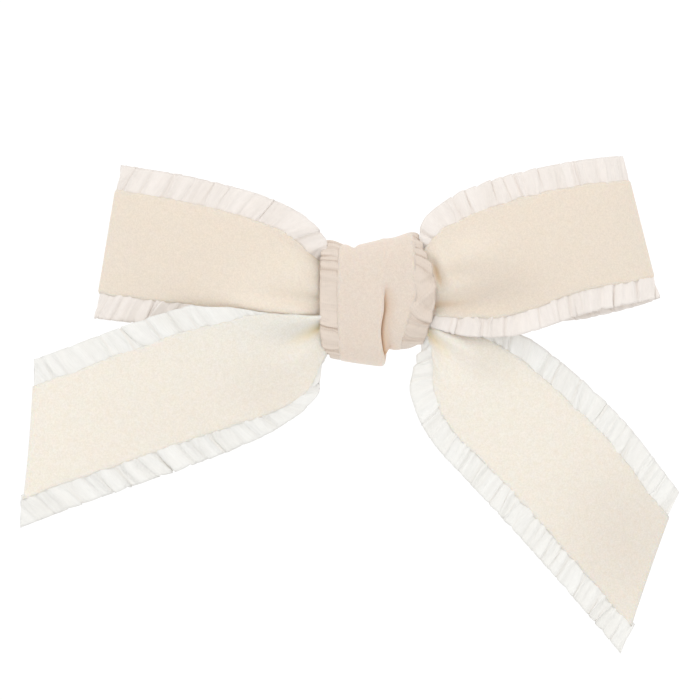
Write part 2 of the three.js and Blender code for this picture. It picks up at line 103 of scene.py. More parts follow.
# Each length of ribbon, from the waist outwards, as in the CAD model: the two edges of the velvet, and
# the share of its full width that each frill shows at stations evenly spaced along it.
# A fold is (x, z) of its start, (x, z) of its end, its width at each and its height towards the front.
# A painted shade darkens the velvet's colour where shade falls, or lightens it as painted light if below
# zero: (x, z), radius in each, amount.
RIBBONS = {
    "left_loop": {
        "upper": [
            (-0.8, -12.8, 2.4), (-4.4, -12.8, 3.4), (-7.4, -13.1, 4.6), (-10.6, -13.6, 6.6),
            (-15, -14, 10.2), (-22, -14, 13.3), (-32.4, -13.8, 15.8), (-40.2, -12, 17.3),
            (-44.1, -9.3, 18), (-40.2, -6.8, 17.5), (-32.4, -5.9, 16.2), (-22, -6.6, 13.4),
            (-15, -7.6, 10), (-10.6, -8.3, 7), (-7.4, -8.7, 5.2), (-4.4, -8.9, 3.6),
            (-0.8, -8.9, 2.4)],
        "lower": [
            (-0.8, -12.8, -2.8), (-4.4, -12.8, -3.6), (-7.4, -12.9, -4.2), (-10.6, -13.2, -4.6),
            (-15.4, -13.3, -4.6), (-23.5, -13.2, -3.4), (-34, -13.2, -1.2), (-43, -11.9, -0.1),
            (-47, -9.3, 0.4), (-42.6, -6.9, 0), (-34, -6, -0.9), (-23.5, -6.6, -2.8),
            (-15.4, -7.6, -4), (-10.6, -8.2, -4.2), (-7.4, -8.7, -4), (-4.4, -8.9, -3.4),
            (-0.8, -8.9, -2.8)],
        "upper_frill": [0.2, 0.2, 0.3, 0.8, 1, 1, 1, 1, 1, 1, 1, 1, 1, 0.5, 0.25, 0.2, 0.2],
        "lower_frill": [0.2, 0.2, 0.25, 0.4, 0.8, 1, 1, 1, 1, 1, 1, 1, 0.8, 0.5, 0.3, 0.2, 0.2],
        "folds": [
            ((-9.0, 5.6), (-19.0, 10.8), 0.8, 1.5, -0.9),
            ((-8.0, 2.2), (-22.0, 5.4), 2.4, 5.0, 1.8),
            ((-9.0, -0.6), (-22.0, 0.6), 0.8, 1.6, -0.5),
            ((-9.0, -3.0), (-30.0, -0.6), 0.9, 1.8, 1.5)],
        "painted_shades": [((-19.0, 1.0), (10.0, 4.5), -0.45)]},
    "right_loop": {
        "upper": [
            (0.8, -13.2, 2.6), (4.4, -13.2, 4.4), (7.6, -13.8, 7.8), (10.2, -14.3, 10.8),
            (14.6, -14.5, 13.2), (21.9, -14.4, 15.9), (31.5, -14, 18.1), (38.8, -12.1, 19.2),
            (42.3, -9.3, 19.5), (38.4, -7.3, 18.9), (31.5, -6.6, 17.6), (21.9, -7.2, 15.2),
            (14.6, -8, 12.4), (10.2, -8.5, 9.6), (7.6, -8.8, 7), (4.4, -8.9, 4.4),
            (0.8, -8.9, 2.6)],
        "lower": [
            (0.8, -13.2, -2.4), (4.4, -13.2, -2.8), (7.4, -13.6, -3.2), (11, -14, -3.5),
            (16, -14.2, -3.8), (23.2, -14.2, -3), (34, -13.9, 0.7), (42.4, -12.1, 2.3),
            (46.5, -9.3, 2.9), (42.4, -7.4, 1.2), (34, -6.8, -1), (23.2, -7.3, -3),
            (16, -8, -3.6), (11, -8.5, -3.4), (7.4, -8.8, -3.2), (4.4, -8.9, -2.8),
            (0.8, -8.9, -2.4)],
        "upper_frill": [0.2, 0.2, 0.15, 0.8, 1, 1, 1, 1, 1, 1, 1, 1, 0.9, 0.8, 0.4, 0.3, 0.2],
        "lower_frill": [0.2, 0.2, 0.3, 0.6, 0.75, 0.85, 0.9, 0.85, 0.8, 0.75, 0.7, 0.4, 0.2, 0.2,
                        0.2, 0.2, 0.2],
        "folds": [
            ((10.1, 3.2), (8.8, 7.0), 1.1, 0.9, -1.4),
            ((11.8, 5.8), (25.0, 8.4), 1.8, 4.5, 1.9),
            ((9.0, 0.6), (21.0, 2.6), 1.6, 2.2, 1.7),
            ((10.0, -1.4), (29.0, 0.4), 1.5, 3.6, -1.7)],
        "painted_shades": [((21.0, 1.0), (7.5, 4.0), 0.6), ((10.4, 4.6), (1.6, 2.8), -0.8),
                   ((15.0, 8.5), (4.0, 2.5), -0.3)]},
    "left_tail": {
        "upper": [
            (-0.8, -14.1, -1), (-4.4, -14.2, -2), (-7.4, -14.4, -2.8), (-10.4, -14.7, -3.3),
            (-14.5, -14.9, -3.1), (-20.7, -15, -3.2), (-30, -15, -5.3), (-38.4, -14.6, -8),
            (-47.6, -13.6, -11.4), (-57.5, -12.4, -15), (-67.4, -11.4, -18.2)],
        "lower": [
            (-0.8, -14, -3.8), (-4.4, -13.9, -5.4), (-7.2, -13, -7.4), (-9.6, -12.7, -11.4),
            (-11.8, -13, -16), (-17.5, -12.8, -19.4), (-25.6, -12.6, -22.2),
            (-33.4, -12.4, -24.8), (-42.2, -12.1, -27.9), (-51.6, -11.7, -31.2),
            (-62.6, -11.3, -35.4)],
        "upper_frill": [-0.15, -0.15, -0.15, -0.15, -0.15, 0.1, 0.95, 1, 1, 1, 1],
        "lower_frill": [0.15, 0.12, 0.1, 0.1, 0.4, 0.7, 0.95, 1, 1, 1, 1],
        "cut": (0.905, 0.974),
        "folds": [
            ((-9.0, -4.9), (-18.0, -9.6), 0.85, 2.2, -1.05),
            ((-9.0, -7.6), (-17.0, -13.0), 0.9, 2.6, 1.2),
            ((-10.5, -3.7), (-22.0, -4.6), 0.7, 1.8, 0.5)],
        "painted_shades": [((-18.0, -15.0), (8.0, 6.0), 0.5), ((-14.0, -6.3), (5.0, 2.2), 0.6),
                   ((-34.0, -20.0), (16.0, 14.0), 0.2)]},
    "right_tail": {
        "upper": [
            (0.8, -12, -0.6), (4.4, -12, -2), (8, -12.3, -3.4), (11.8, -12.5, -4.8),
            (17, -12.4, -6.6), (23.5, -11.2, -10), (31.2, -8.8, -16.7), (39.6, -6.2, -24.9),
            (48.7, -3.4, -36.5), (58.2, -1, -47.4)],
        "lower": [
            (0.8, -11.8, -3.4), (4.4, -11.9, -5.2), (8, -12.1, -7), (9.2, -12.2, -11),
            (9.4, -12.2, -16), (12, -11.7, -22), (18.4, -10.4, -28.6), (26.6, -8.2, -37.4),
            (36.2, -5, -48.2), (46.4, -1.6, -60.2)],
        "upper_frill": [0.2, 0.2, 0.2, 0.3, 0.35, 0.85, 1, 1, 1, 1],
        "lower_frill": [0.12, 0.12, 0.12, 0.7, 0.95, 0.9, 1, 1, 1, 1],
        "cut": (0.9, 0.965),
        "folds": [
            ((8.4, -6.0), (14.5, -12.6), 0.9, 2.2, -0.8),
            ((11.0, -6.6), (21.0, -13.0), 0.9, 2.6, 1.0),
            ((9.6, -10.5), (13.5, -19.0), 0.6, 2.0, 0.7)],
        "painted_shades": [((43.0, -41.0), (13.0, 14.0), 1.0), ((18.0, -11.0), (5.0, 3.0), 0.6),
                   ((13.5, -12.5), (3.0, 3.0), -0.3)]},
}


# ---- curves, folds and noise ----
def rail(points):
    """Uniform Catmull-Rom curve through the points, for a share of 0 to 1."""
    given = np.array(points, float) + GRIP
    padded = np.vstack([2 * given[0] - given[1], given, 2 * given[-1] - given[-2]])

    def at(share):
        place = np.clip(share, 0, 1) * (len(given) - 1)
        index = np.minimum(place.astype(int), len(given) - 2)
        f = (place - index)[..., None]
        a, b, c, d = (padded[index + k] for k in range(4))
        return 0.5 * (2 * b + (c - a) * f + (2 * a - 5 * b + 4 * c - d) * f**2
                      + (3 * b - a - 3 * c + d) * f**3)
    return at


def smoothstep(low, high, value):
    f = np.clip((value - low) / (high - low), 0, 1)
    return f * f * (3 - 2 * f)


def fold_height(folds, x, z):
    """How far towards the front the folds lift the cloth at (x, z), and how much painted shade their hollows
    get.
    """
    total, fold_shade = np.zeros_like(x), np.zeros_like(x)
    for (x0, z0), (x1, z1), width0, width1, height in folds:
        along = np.array([x1 - x0, z1 - z0])
        length = np.hypot(*along)
        along /= length
        run = ((x - x0) * along[0] + (z - z0) * along[1]) / length
        aside = (x - x0) * along[1] - (z - z0) * along[0]
        width = width0 + (width1 - width0) * np.clip(run, 0, 1.4)
        fade = (1 - smoothstep(0.15, 1.15, run)) * smoothstep(-0.9, 0.0, run)
        shape = fade * np.exp(-(aside / width) ** 2)
        # Painted shade: the deeper and narrower a hollow, the more shade is painted into it.
        fold_shade += max(-height, 0) / width * shape / 2
        buried = smoothstep(RIDGE_BURIED, RIDGE_CLEAR, np.abs(x)) if height > TALL_RIDGE else 1
        total += height * shape * buried
    return total, np.clip(fold_shade, 0, 1)


def painted_shade_amount(painted_shades, x, z):
    """How much painted shade the velvet gets at (x, z): painted light where it is below zero."""
    total = np.zeros_like(x)
    for (x0, z0), (across, up), amount in painted_shades:
        total += amount * np.exp(-((x - x0) / across) ** 2 - ((z - z0) / up) ** 2)
    return total


def wander(seed, length, pitch):
    """A smooth random function of a distance, from -1 to 1, that changes over about one pitch."""
    knots = np.random.default_rng(seed).uniform(-1, 1, int(length / pitch) + 4)

    def at(distance):
        place = np.clip(distance / pitch, 0, len(knots) - 2.001)
        index = place.astype(int)
        f = place - index
        f = f * f * (3 - 2 * f)
        return knots[index] * (1 - f) + knots[index + 1] * f
    return at


def grid(down, across):
    """Two tables of one shape: one list down the rows, and the other across the columns."""
    return down[:, None] * np.ones(len(across)), across[None, :] * np.ones((len(down), 1))


def lengths_along(path):
    """The distance from a path's start to each of its points."""
    return np.concatenate([[0], np.linalg.norm(np.diff(path, axis=0), axis=1).cumsum()])


def rounded_square(angle, power):
    """The forward and the upward share, from -1 to 1, of a superellipse at an angle from the front."""
    forward, upward = np.cos(angle), np.sin(angle)
    return np.sign(forward) * np.abs(forward) ** power, np.sign(upward) * np.abs(upward) ** power


# ---- meshes ----
def normals_of(points, wraps):
    """The unit normals of a grid of points, whose rows may close on themselves."""
    if wraps:
        along = np.roll(points, -1, 0) - np.roll(points, 1, 0)
    else:
        along = np.gradient(points, axis=0)
    normal = np.cross(along, np.gradient(points, axis=1))
    return normal / np.maximum(np.linalg.norm(normal, axis=2, keepdims=True), 1e-9)


def add_object(name, data):
    thing = bpy.data.objects.new(name, data)
    bpy.context.scene.collection.objects.link(thing)
    return thing


def add_mesh(name, vertices, faces, uv=None, attributes=None):
    """A smooth-shaded mesh object from millimetre vertices; uv is in millimetres too."""
    mesh = bpy.data.meshes.new(name)
    mesh.from_pydata((np.asarray(vertices) * MM).tolist(), [], faces)
    mesh.polygons.foreach_set("use_smooth", [True] * len(mesh.polygons))
    if uv is not None:
        layer = mesh.uv_layers.new(name="cloth")
        corners = np.empty(len(mesh.loops), int)
        mesh.loops.foreach_get("vertex_index", corners)
        layer.data.foreach_set("uv", (uv[corners] * MM).ravel())
    for key, values in (attributes or {}).items():
        mesh.attributes.new(key, "FLOAT", "POINT").data.foreach_set("value", values)
    mesh.update()
    return add_object(name, mesh)


def add_cloth(name, points, thickness, uv, wraps=False, edge=0.8, attributes=None):
    """Closed cloth from a grid of middle points: two faces joined by rounded edges."""
    rows, columns = points.shape[:2]
    normal = normals_of(points, wraps)
    across = np.linalg.norm(np.diff(points, axis=1), axis=2).cumsum(axis=1)
    across = np.concatenate([np.zeros((rows, 1)), across], axis=1)
    inset = np.minimum(across, across[:, -1:] - across)
    if not wraps:
        along = np.linalg.norm(np.diff(points, axis=0), axis=2).cumsum(axis=0)
        along = np.concatenate([np.zeros((1, columns)), along], axis=0)
        inset = np.minimum(inset, np.minimum(along, along[-1:] - along))
    f = np.clip(inset / edge, 0, 1)
    half = thickness / 2 * (RIM_SHARE + (1 - RIM_SHARE) * np.sqrt(1 - (1 - f) ** 2))
    front = points + normal * half[..., None]
    back = points - normal * half[..., None]
    vertices = np.concatenate([front.reshape(-1, 3), back.reshape(-1, 3)])
    number = np.arange(rows * columns).reshape(rows, columns)
    if wraps:
        number = np.vstack([number, number[:1]])
    other = number + rows * columns
    quads = [np.stack([number[:-1, :-1], number[1:, :-1], number[1:, 1:], number[:-1, 1:]], 2),
             np.stack([other[:-1, :-1], other[:-1, 1:], other[1:, 1:], other[1:, :-1]], 2)]
    faces = [q.reshape(-1, 4) for q in quads]
    faces.append(np.stack([number[:-1, 0], other[:-1, 0], other[1:, 0], number[1:, 0]], 1))
    faces.append(np.stack([number[:-1, -1], number[1:, -1], other[1:, -1], other[:-1, -1]], 1))
    if not wraps:
        faces.append(np.stack([number[0, :-1], number[0, 1:], other[0, 1:], other[0, :-1]], 1))
        faces.append(np.stack([number[-1, :-1], other[-1, :-1], other[-1, 1:], number[-1, 1:]], 1))
    uv = np.concatenate([uv.reshape(-1, 2)] * 2)
    doubled = {key: np.tile(values.ravel(), 2) for key, values in (attributes or {}).items()}
    return add_mesh(name, vertices, np.vstack(faces).tolist(), uv, doubled)


# ---- pleats ----
# One knife pleat, from its start to the next: (share of the pitch, share of the height).
PLEAT = rail(np.array([(0.0, 0, 0.0), (0.20, 0, 0.30), (0.50, 0, 0.62), (0.84, 0, 0.95), (1.0, 0, 0.85),
                       (0.99, 0, 0.42), (0.96, 0, 0.08), (1.0, 0, 0.0)]) - GRIP)
SHORTEST_PITCH = 0.35         # as a share of the mean one
FAINTEST_PLEAT = 0.15         # as a share of the boldest one
TURNED_PLEATS = 0.35          # the share of them that face the other way
CRINKLE_PITCH = 0.55
CRINKLE_AT_SEAM, CRINKLE_AT_EDGE = 0.9, 0.5
LEAST_OVERLAP = 0.2           # the faintest pleat's, as a share of the boldest one's
PLEAT_MIDDLE, PLEAT_FADING, PLEAT_FLATTEST = 0.6, 1.7, 0.04
CREASE_PHASE, CREASE_WIDTH = 0.97, 0.07


class Pleats:
    """Irregular knife pleats along a frill of the given length: the rarer, the fewer are bold."""

    def __init__(self, seed, length, pitch, spread, rarity):
        random = np.random.default_rng(seed)
        starts = [-2 * pitch]
        while starts[-1] < length + 3 * pitch:
            starts.append(starts[-1] + pitch * max(SHORTEST_PITCH, random.normal(1, spread)))
        self.starts = np.array(starts)
        self.sizes = (FAINTEST_PLEAT
                      + (1 - FAINTEST_PLEAT) * random.uniform(0, 1, len(starts)) ** rarity)
        self.slants = random.normal(0, 0.15, len(starts))
        self.turned = random.uniform(0, 1, len(starts)) < TURNED_PLEATS
        self.fades = random.uniform(-1, 1, len(starts))
        self.crinkle = wander(seed + 100, length + 6 * pitch, CRINKLE_PITCH)

    def at(self, distance, reach):
        """The shift along the frill, the height, where in its pleat each distance falls, and the size."""
        index = np.clip(np.searchsorted(self.starts, distance) - 1, 0, len(self.starts) - 2)
        start = self.starts[index]
        pitch = self.starts[index + 1] - start
        phase = (distance - start) / pitch
        turned = self.turned[index]
        along = np.where(turned, 1 - phase, phase)
        shape = PLEAT(along)
        # Most pleats are pressed flat towards one end: either at the velvet or at the free edge.
        fading = PLEAT_MIDDLE + PLEAT_FADING * self.fades[index] * (reach - 0.5)
        size = self.sizes[index] * np.clip(fading, PLEAT_FLATTEST, 1)
        slant = self.slants[index] + (self.slants[index + 1] - self.slants[index]) * phase
        overlap = LEAST_OVERLAP + (1 - LEAST_OVERLAP) * size
        shift = np.where(turned, -1, 1) * (shape[..., 0] - along) * pitch * overlap
        crinkled = CRINKLE_AT_SEAM + (CRINKLE_AT_EDGE - CRINKLE_AT_SEAM) * reach
        crinkle = self.crinkle(distance + 2) * crinkled
        return shift, shape[..., 2] * size + crinkle, along, size, slant


def scallop(phase, size, depth, reach):
    """How far each pleat's free edge bows out past the frill's own edge."""
    return (np.sin(math.pi * np.clip(phase, 0, 1)) - 0.75) * depth * size * smoothstep(0.6, 1, reach)


def crease_of(phase, size):
    """How deep in the fold of its pleat each point lies: the mask for the painted shade in the crease."""
    return np.exp(-((phase - CREASE_PHASE) / CREASE_WIDTH) ** 2) * size


# ---- ribbon ----
class Ribbon:
    """A length of ribbon: velvet between its two edges, a frill on each, and folds that lift them."""

    def __init__(self, name, plan):
        self.name = name
        self.edges = {"upper": rail(plan["upper"]), "lower": rail(plan["lower"])}
        self.shown = {"upper": plan["upper_frill"], "lower": plan["lower_frill"]}
        self.folds = plan["folds"]
        self.painted_shades = plan["painted_shades"]
        self.is_loop = "cut" not in plan
        self.cut = plan.get("cut", (1.0, 1.0))
        share = np.linspace(0, 1, 2001)
        middle = (self.edges["upper"](share) + self.edges["lower"](share)) / 2
        self.shares = share
        self.distances = lengths_along(middle)

    def distance(self, share):
        return np.interp(share, self.shares, self.distances)

    def share_at(self, distance):
        return np.interp(distance, self.distances, self.shares)

    def cut_share(self, across):
        return self.cut[0] + (self.cut[1] - self.cut[0]) * across

    def lift(self, point, share):
        """How far the folds lift a point, and how much painted shade its fold hollow gets; a loop's rear
        layer has none.
        """
        height, fold_shade = fold_height(self.folds, point[..., 0] - GRIP[0], point[..., 2] - GRIP[2])
        if self.is_loop:
            front = 1 - smoothstep(0.36, 0.5, share)
            return height * front, fold_shade * front
        return height, fold_shade

    def velvet_point(self, share, across):
        """A point of the velvet's middle surface, and how much painted shade its fold hollow gets there."""
        upper, lower = self.edges["upper"](share), self.edges["lower"](share)
        point = upper + (lower - upper) * across[..., None]
        lift, fold_shade = self.lift(point, share)
        bow_out = np.sin(np.clip(across, 0, 1) * math.pi)
        if self.is_loop:
            bow_out = bow_out * LOOP_CROWN * np.sin(share * 2 * math.pi)
        else:
            bow_out = bow_out * TAIL_CROWN * smoothstep(0.2, 0.5, share)
        point[..., 1] -= lift + bow_out
        return point, fold_shade

    def frill_point(self, side, share, out):
        """A point of the frill's plain surface, `out` from the seam."""
        seam = self.edges[side](share)
        other = self.edges["lower" if side == "upper" else "upper"](share)
        step = 1e-3
        tangent = self.edges[side](np.minimum(share + step, 1)) - self.edges[side](share - step)
        tangent /= np.linalg.norm(tangent, axis=-1, keepdims=True)
        outward = seam - other
        outward -= (outward * tangent).sum(-1, keepdims=True) * tangent
        outward /= np.linalg.norm(outward, axis=-1, keepdims=True)
        point = seam + outward * out[..., None]
        point[..., 1] -= self.lift(point, share)[0]
        return point

    def add_velvet(self, material, rows, columns=48):
        u, v = grid(np.linspace(0, 1, rows), np.linspace(0, 1, columns))
        seed = sum(map(ord, self.name))
        distance = self.distance(u)
        uneven = [wander(seed + k, self.distances[-1], EDGE_WANDER_PITCH)(distance)
                  * EDGE_WANDER / VELVET_WIDTH for k in (1, 2)]
        across = uneven[0] + (1 + uneven[1] - uneven[0]) * v
        share = u * self.cut_share(across)
        points, fold_shade = self.velvet_point(share, across)
        uv = np.stack([self.distance(share), across * VELVET_WIDTH], 2)
        # Painted shade and painted light on the velvet, laid by region.
        shade = painted_shade_amount(self.painted_shades, points[..., 0] - GRIP[0], points[..., 2] - GRIP[2])
        piece = add_cloth(f"{self.name}_velvet_band", points, VELVET_THICKNESS, uv, edge=0.5,
                          attributes={"fold_shade": fold_shade, "shade": shade})
        return finish_piece(piece, f"{self.name}_velvet", material)

    def add_frill(self, side, material, pleats, slant, step=0.14, columns=11):
        far = FRILL_WIDTH / VELVET_WIDTH
        length = self.distances[-1] * self.cut_share(0.0 if side == "upper" else 1.0)
        rows = int(length / step)
        u, reach = grid(np.linspace(0, 1, rows), np.linspace(0, 1, columns))
        end = self.cut_share(-reach * far if side == "upper" else 1 + reach * far)
        along = u * self.distance(end)
        station = self.share_at(along)
        stations = np.linspace(0, 1, len(self.shown[side]))
        width = FRILL_WIDTH * np.interp(station, stations, self.shown[side])
        out = -SEAM_OVERLAP + reach * (width + SEAM_OVERLAP)
        pattern = along + slant * reach * FRILL_WIDTH
        shift, lift, phase, size, own_slant = pleats.at(pattern, reach)
        open_up = smoothstep(0.0, 0.5, reach)
        moved = along + shift * open_up + own_slant * reach * OWN_SLANT_LENGTH
        share = np.minimum(self.share_at(np.clip(moved, 0, None)), end)
        points = self.frill_point(side, share, out + scallop(phase, size, RUFFLE_SCALLOP, reach))
        normal = normals_of(self.frill_point(side, np.minimum(station, end), out), False)
        if normal[: rows // 4, :, 1].mean() > 0:
            normal = -normal
        raised = LIFT_AT_SEAM + (1 - LIFT_AT_SEAM) * smoothstep(0.0, 0.4, reach)
        rise = RUFFLE_HEIGHT * lift * raised - SEAM_DEPTH
        rise -= TUCKED_DEPTH * smoothstep(TUCKED_WIDTH, -TUCKED_WIDTH, width)
        points += normal * rise[..., None]
        uv = np.stack([pattern, out], 2)
        piece = add_cloth(f"{self.name}_{side}_ruffle", points, FRILL_THICKNESS, uv,
                          edge=0.05, attributes={"crease": crease_of(phase, size)})
        return finish_piece(piece, f"{self.name}_{side}_frill", material)


def finish_piece(piece, node, material, body="bow"):
    """Gives a piece its material and its body, and puts it in the CAD node's place."""
    piece.data.materials.append(material)
    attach(piece, body)
    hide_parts(node)
    return piece


# ---- materials ----
class Look:
    """The nodes of a material or of the world, with short ways of adding to them."""

    def __init__(self, owner, shader="Principled BSDF"):
        owner.use_nodes = True
        self.owner = owner
        self.tree = owner.node_tree
        self.shader = self.tree.nodes[shader]

    def put(self, socket, value):
        """Links another node's output to the socket, or sets a plain value on it."""
        if hasattr(value, "is_output"):
            self.tree.links.new(value, socket)
        else:
            socket.default_value = value

    def shaded(self, inputs):
        """Gives the shader these values or links, and returns the finished material or world."""
        for name, value in inputs.items():
            self.put(self.shader.inputs[name], value)
        return self.owner

    def add(self, kind, inputs, **settings):
        """A new node with these settings, whose sockets get these values or links."""
        node = self.tree.nodes.new(f"ShaderNode{kind}")
        for name, value in settings.items():
            setattr(node, name, value)
        for name, value in inputs.items():
            self.put(node.inputs[name], value)
        return node

    def place(self, system="Object"):
        return self.add("TexCoord", {}).outputs[system]

    def attribute(self, name):
        return self.add("Attribute", {}, attribute_name=name).outputs["Fac"]

    def stretched(self, vector, scale):
        return self.add("Mapping", {"Scale": scale, "Vector": vector}).outputs["Vector"]

    def noise(self, vector, scale, detail=3.0, roughness=0.6):
        return self.add("TexNoise", {"Scale": scale, "Detail": detail, "Roughness": roughness,
                                     "Vector": vector}).outputs["Fac"]

    def ramp(self, factor, low, high, low_colour, high_colour):
        node = self.add("ValToRGB", {"Fac": factor})
        stops = ((low, low_colour), (high, high_colour))
        for element, (position, colour) in zip(node.color_ramp.elements, stops):
            element.position = position
            element.color = colour
        return node.outputs["Color"]

    def mix(self, blend, factor, first, second):
        return self.add("Mix", {"Factor": factor, "A": first, "B": second},
                        data_type="RGBA", blend_type=blend).outputs["Result"]

    def map_range(self, value, given, wanted, **settings):
        bounds = zip(("From Min", "From Max", "To Min", "To Max"), given + wanted)
        return self.add("MapRange", {**dict(bounds), "Value": value}, **settings).outputs["Result"]

    def maths(self, operation, first, second):
        node = self.add("Math", {}, operation=operation)
        self.put(node.inputs[0], first)
        self.put(node.inputs[1], second)
        return node.outputs[0]

    def bump(self, height, distance, strength, after=None):
        """A bump of the given depth in metres, on top of another one if there is one."""
        inputs = {"Distance": distance, "Strength": strength, "Height": height}
        if after is not None:
            inputs["Normal"] = after
        return self.add("Bump", inputs).outputs["Normal"]


def linear(red, green, blue):
    """A colour given as it looks on a screen, from 0 to 255, as the shader wants it."""
    def channel(value):
        c = value / 255
        return c / 12.92 if c <= 0.04045 else ((c + 0.055) / 1.055) ** 2.4
    return (channel(red), channel(green), channel(blue), 1.0)


def grey(value):
    return (value, value, value, 1)


def darker(colour, share):
    return tuple(c * share for c in colour[:3]) + (1,)


def velvet_material(name, light, dark, fold_shade_colour, fold_shade_from, fold_shade_to):
    """Short matte pile: fine grain, a soft mottle, painted warm shade in the fold hollows, painted shade and
    light by region, and a sheen at grazing angles.
    """
    look = Look(bpy.data.materials.new(name))
    place = look.place()
    mottle = look.noise(place, 1500, 2)
    pile = look.noise(place, 3600, 2, 0.8)
    speckle = look.ramp(pile, 0.34, 0.66, (0.915, 0.91, 0.90, 1), grey(1))
    colour = look.mix("MULTIPLY", 1.0, look.ramp(mottle, 0.3, 0.7, dark, light), speckle)
    # Painted warm shade in the fold hollows; on the tails it is a painted yellow glow.
    amount = look.map_range(look.attribute("fold_shade"), (fold_shade_from, fold_shade_to), (0.0, 1.0))
    colour = look.mix("MIX", amount, colour, fold_shade_colour)
    # Painted shade darkens the velvet by region, and painted light lightens it where the amount is below
    # zero.
    painted_shade_factor = look.map_range(look.attribute("shade"), (0.0, 1.0), (1.0, 0.885), clamp=False)
    soft = look.bump(mottle, 0.00006, 0.4)
    return look.shaded({
        "Base Color": look.mix("MULTIPLY", 1.0, colour, painted_shade_factor),
        "Roughness": look.ramp(pile, 0.3, 0.7, grey(0.86), grey(1)),
        "Normal": look.bump(pile, 0.00007, 0.6, soft),
        "Sheen Weight": 0.25, "Sheen Roughness": 0.45, "Sheen Tint": (1.0, 0.97, 0.92, 1),
        "Specular IOR Level": 0.15, "Subsurface Weight": 0.3,
        "Subsurface Radius": (1.0, 0.62, 0.4), "Subsurface Scale": 0.0014})


FRILL_OPACITY = 0.88
BAND_SCALE = 0.31416          # a band texture's scale for one band in each unit of length


def frill_material(name, colour, crease_shade_colour, threads_apart, contrast):
    """Sheer gathered weave: fine threads both ways, a little see-through between them."""
    look = Look(bpy.data.materials.new(name))
    uv = look.add("UVMap", {}, uv_map="cloth").outputs["UV"]
    waves = [look.add("TexWave", {"Scale": BAND_SCALE / (pitch * MM), "Distortion": 0.8, "Detail": 1.0,
                                  "Detail Scale": 1.5, "Vector": uv},
                      wave_type="BANDS", bands_direction=direction).outputs["Fac"]
             for direction, pitch in zip("XY", threads_apart)]
    threads = look.maths("MAXIMUM", *waves)
    soft = look.noise(look.place(), 700, 2)
    # Fine gathers run across the frill, as streaks within broader patches; their colour is painted highlight
    # and shade of the gathers, and the streaks also bump the surface.
    across = look.stretched(uv, (1, 0.16, 1))
    streaks = look.noise(across, 1500, 3)
    painted_light_patches = look.ramp(look.noise(across, 330, 2), 0.35, 0.65, (0.965, 0.957, 0.945, 1), grey(1))
    base = look.mix("MULTIPLY", 1.0, look.ramp(streaks, 0.32, 0.68, darker(colour, 0.945), colour), painted_light_patches)
    # The gaps between threads show in patches, where the weave is pulled open.
    between = look.map_range(soft, (0.42, 0.62), (FRILL_OPACITY, FRILL_OPACITY - contrast))
    gathered = look.bump(streaks, 0.0003, 0.6)
    # Painted shade in each pleat's crease.
    return look.shaded({
        "Base Color": look.mix("MIX", look.attribute("crease"), base, crease_shade_colour),
        "Alpha": look.map_range(threads, (0.0, 1.0), (between, FRILL_OPACITY)),
        "Normal": look.bump(threads, 0.00002, 0.25, gathered),
        "Roughness": look.ramp(soft, 0.3, 0.7, grey(0.5), grey(0.62)),
        "Sheen Weight": 0.2, "Specular IOR Level": 0.25})


def metal_material(name, colour, roughness):
    """Plated steel: drawn lines along the strip and small scuffs."""
    look = Look(bpy.data.materials.new(name))
    place = look.place()
    lines = look.noise(look.stretched(place, (0.06, 1, 1)), 9000, 3)
    scuffs = look.noise(place, 700, 5, 0.7)
    return look.shaded({
        "Base Color": look.ramp(scuffs, 0.35, 0.7, darker(colour, 0.86), colour),
        "Roughness": look.ramp(lines, 0.3, 0.7, grey(roughness * 0.75), grey(roughness * 1.35)),
        "Normal": look.bump(lines, 0.00001, 0.35),
        "Metallic": 1.0})


def plain_cloth_material(name, light, dark, scale):
    """A matte surface with fibres or lumps as fine as the noise's scale."""
    look = Look(bpy.data.materials.new(name))
    fibres = look.noise(look.place(), scale, 4, 0.7)
    return look.shaded({
        "Base Color": look.ramp(fibres, 0.3, 0.7, dark, light),
        "Normal": look.bump(fibres, 0.0001, 0.7),
        "Roughness": 0.9, "Specular IOR Level": 0.2})


# Each velvet's third colour is painted into its fold hollows: orange-brown shade on the loops and knot, a
# yellow glow on the tails.
loop_velvet = velvet_material("loop_velvet", linear(240, 227, 213), linear(237, 224, 210),
                              linear(220, 183, 134), 0.38, 0.9)
tail_velvet = velvet_material("tail_velvet", linear(244, 238, 230), linear(241, 234, 223),
                              linear(247, 231, 196), 0.1, 0.55)
knot_velvet = velvet_material("knot_velvet", linear(237, 222, 209), linear(234, 217, 204),
                              linear(203, 160, 115), 0.1, 1.0)
# Each frill's second colour is the painted shade in its pleats' creases.
loop_sheer = frill_material("loop_frill", linear(255, 248, 242), linear(236, 224, 213),
                            (0.21, 0.24), 0.05)
tail_sheer = frill_material("tail_frill", linear(255, 254, 250), linear(242, 235, 226),
                            (0.21, 0.24), 0.05)
knot_sheer = frill_material("knot_frill", linear(241, 227, 214), linear(212, 192, 176),
                            (0.33, 0.35), 0.08)
felt = plain_cloth_material("pressed_felt", linear(243, 235, 222), linear(226, 215, 198), 2600)
glue = plain_cloth_material("hot_melt_glue", linear(244, 240, 226), linear(232, 226, 208), 500)
grosgrain = plain_cloth_material("grosgrain_ribbon", linear(245, 237, 224), linear(228, 217, 200), 1800)
thread_cloth = plain_cloth_material("gathering_thread", linear(240, 232, 218), linear(214, 203, 186), 4000)
plated_steel = metal_material("plated_steel", (0.72, 0.73, 0.75, 1), 0.28)
spring_wire = metal_material("spring_wire", (0.6, 0.61, 0.63, 1), 0.33)

# ---- loops and tails ----
LOOP_ROWS = 260
TAIL_ROWS = 170
RUFFLE_HEIGHT = 0.40
RUFFLE_RARITY = 1.5
RUFFLE_SCALLOP = 0.45
LIFT_AT_SEAM = 0.35
OWN_SLANT_LENGTH = 2.0
TUCKED_WIDTH = 0.3            # a frill narrower than this goes behind the velvet, by the next length
TUCKED_DEPTH = 0.5
